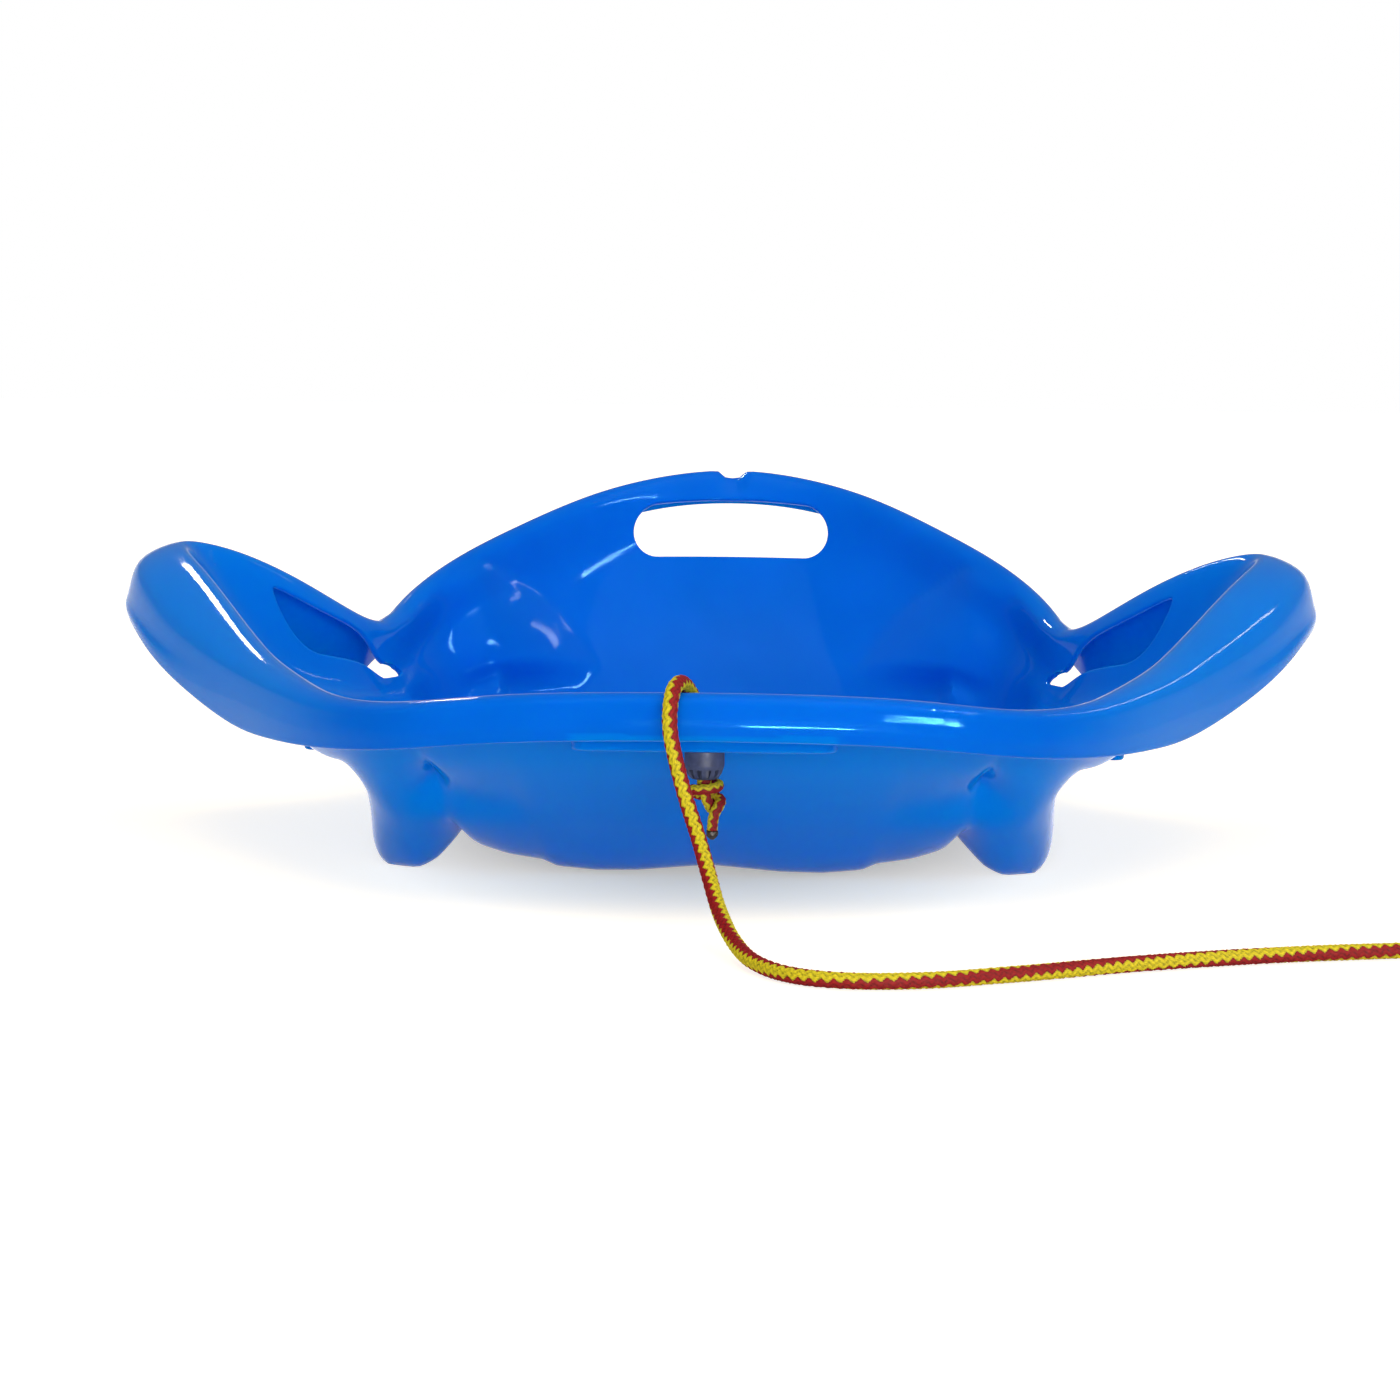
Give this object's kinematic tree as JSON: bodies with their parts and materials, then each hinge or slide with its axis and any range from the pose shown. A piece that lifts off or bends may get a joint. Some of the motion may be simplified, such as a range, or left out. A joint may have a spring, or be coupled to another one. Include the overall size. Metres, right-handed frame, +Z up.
{
  "type": "plastic bobsled",
  "caption": "Child's moulded plastic snow sled with raised backrest, carry slot, side wings with hand holes, twin runners and a knotted tow rope.",
  "frame": {"origin": "middle of the sled's box in plan, at the height of the snow under its runners", "axes": "+Z up, -Y towards the nose, +X towards the rider's left, which is the right side of the picture"},
  "size_m": [0.8024, 0.8609, 0.1687],
  "materials": {
    "blue_polyethylene": "glossy blow-moulded blue polyethylene, slightly see-through to light in thin places",
    "grey_blue_plastic": "satin grey-blue injection-moulded plastic",
    "braided_cord": "red and yellow polypropylene braid in a zig-zag",
    "melted_cord_end": "dark melted and set plastic",
    "black_strap": "black woven hook-and-loop strap"
  },
  "bodies": {
    "sled": {"sled_shell": "blue_polyethylene", "tow_rope": "braided_cord", "stopper_knot": "braided_cord", "stopper_knot_melted_tip": "melted_cord_end", "rope_coil": "braided_cord", "coil_tie": "black_strap", "rope_end": "braided_cord", "end_knot": "braided_cord", "end_knot_melted_tip": "melted_cord_end"},
    "rope_bush": {"rope_bush": "grey_blue_plastic"}
  },
  "joints": [
    {"name": "bush_turn", "type": "hinge", "parent": "sled", "child": "rope_bush", "pos_m": [0, -0.305, 0.0705], "axis": [0, 0, 1], "continuous": true}
  ]
}
